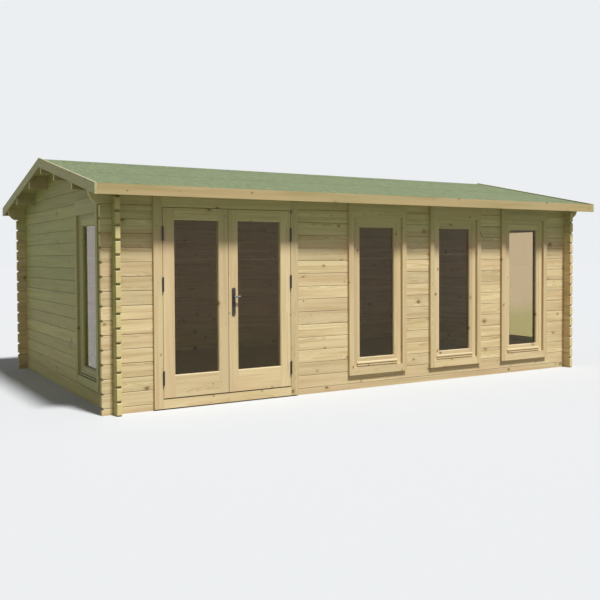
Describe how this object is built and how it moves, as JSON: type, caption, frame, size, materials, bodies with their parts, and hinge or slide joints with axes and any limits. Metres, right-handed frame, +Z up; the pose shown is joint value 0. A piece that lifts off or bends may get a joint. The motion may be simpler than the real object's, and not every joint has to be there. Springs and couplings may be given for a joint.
{
  "type": "log cabin",
  "caption": "Rectangular garden log cabin with crossed log corners, a low felted apex roof, glazed double doors and tall narrow windows.",
  "frame": {"origin": "middle of the footprint on the ground, under the logs", "axes": "+X along the long walls to the right seen from the front, +Y to the rear, +Z up"},
  "size_m": [6.382, 4.13, 2.5036],
  "materials": {
    "wall_log": "planed softwood, pressure treated with a faint green cast, unpainted",
    "joinery_timber": "planed knotty softwood, unpainted",
    "roof_timber": "planed softwood, unpainted",
    "trim_board": "planed softwood board with knots",
    "floor_timber": "tongued softwood boards",
    "mineral_felt": "green mineral roofing felt, granular and matt",
    "glass": "clear float glass",
    "hinge_steel": "black lacquered steel",
    "handle_plate": "dark bronze lacquered plate",
    "lever_metal": "grey metal lever, softly worn"
  },
  "bodies": {
    "cabin": {"front_logs_left_of_door": "wall_log", "front_logs_right_of_door": "wall_log", "front_logs_between_windows": "wall_log", "front_logs_right_end": "wall_log", "front_logs_under_windows": "wall_log", "rear_logs": "wall_log", "left_logs_before_window": "wall_log", "left_logs_behind_window": "wall_log", "left_through_logs": "wall_log", "right_logs_before_window": "wall_log", "right_logs_behind_window": "wall_log", "right_through_logs": "wall_log", "front_eaves_logs": "wall_log", "rear_eaves_logs": "wall_log", "door_lining": "joinery_timber", "door_threshold": "joinery_timber", "door_architraves": "joinery_timber", "front_window_linings": "joinery_timber", "front_window_architraves": "joinery_timber", "front_window_sashes": "joinery_timber", "left_window_linings": "joinery_timber", "left_window_architraves": "joinery_timber", "left_window_sashes": "joinery_timber", "right_window_linings": "joinery_timber", "right_window_architraves": "joinery_timber", "right_window_sashes": "joinery_timber", "ridge_purlin": "roof_timber", "purlins": "roof_timber", "roof_boards": "roof_timber", "front_fascia": "trim_board", "rear_fascia": "trim_board", "left_bargeboards": "trim_board", "right_bargeboards": "trim_board", "floor_boards": "floor_timber", "floor_bearers": "floor_timber", "roof_felt": "mineral_felt", "front_window_glass": "glass", "left_window_glass": "glass", "right_window_glass": "glass", "frame_hinges": "hinge_steel"},
    "left_door": {"left_door_leaf": "joinery_timber", "left_door_glass": "glass", "left_door_hinges": "hinge_steel"},
    "right_door": {"right_door_leaf": "joinery_timber", "right_door_glass": "glass", "right_door_hinges": "hinge_steel", "handle_plates": "handle_plate"},
    "lever": {"door_lever": "lever_metal"}
  },
  "joints": [
    {"name": "left_door_hinge", "type": "hinge", "parent": "cabin", "child": "left_door", "pos_m": [-2.496, -1.8563, 0], "axis": [0, 0, -1], "range_deg": [0, 110]},
    {"name": "right_door_hinge", "type": "hinge", "parent": "cabin", "child": "right_door", "pos_m": [-1.126, -1.8563, 0], "axis": [0, 0, 1], "range_deg": [0, 110]},
    {"name": "lever_turn", "type": "hinge", "parent": "right_door", "child": "lever", "pos_m": [-1.769, -1.82, 1.035], "axis": [0, 1, 0], "range_deg": [0, 40], "stiffness_Nm_per_rad": 0.6, "springref_deg": -28.65}
  ]
}
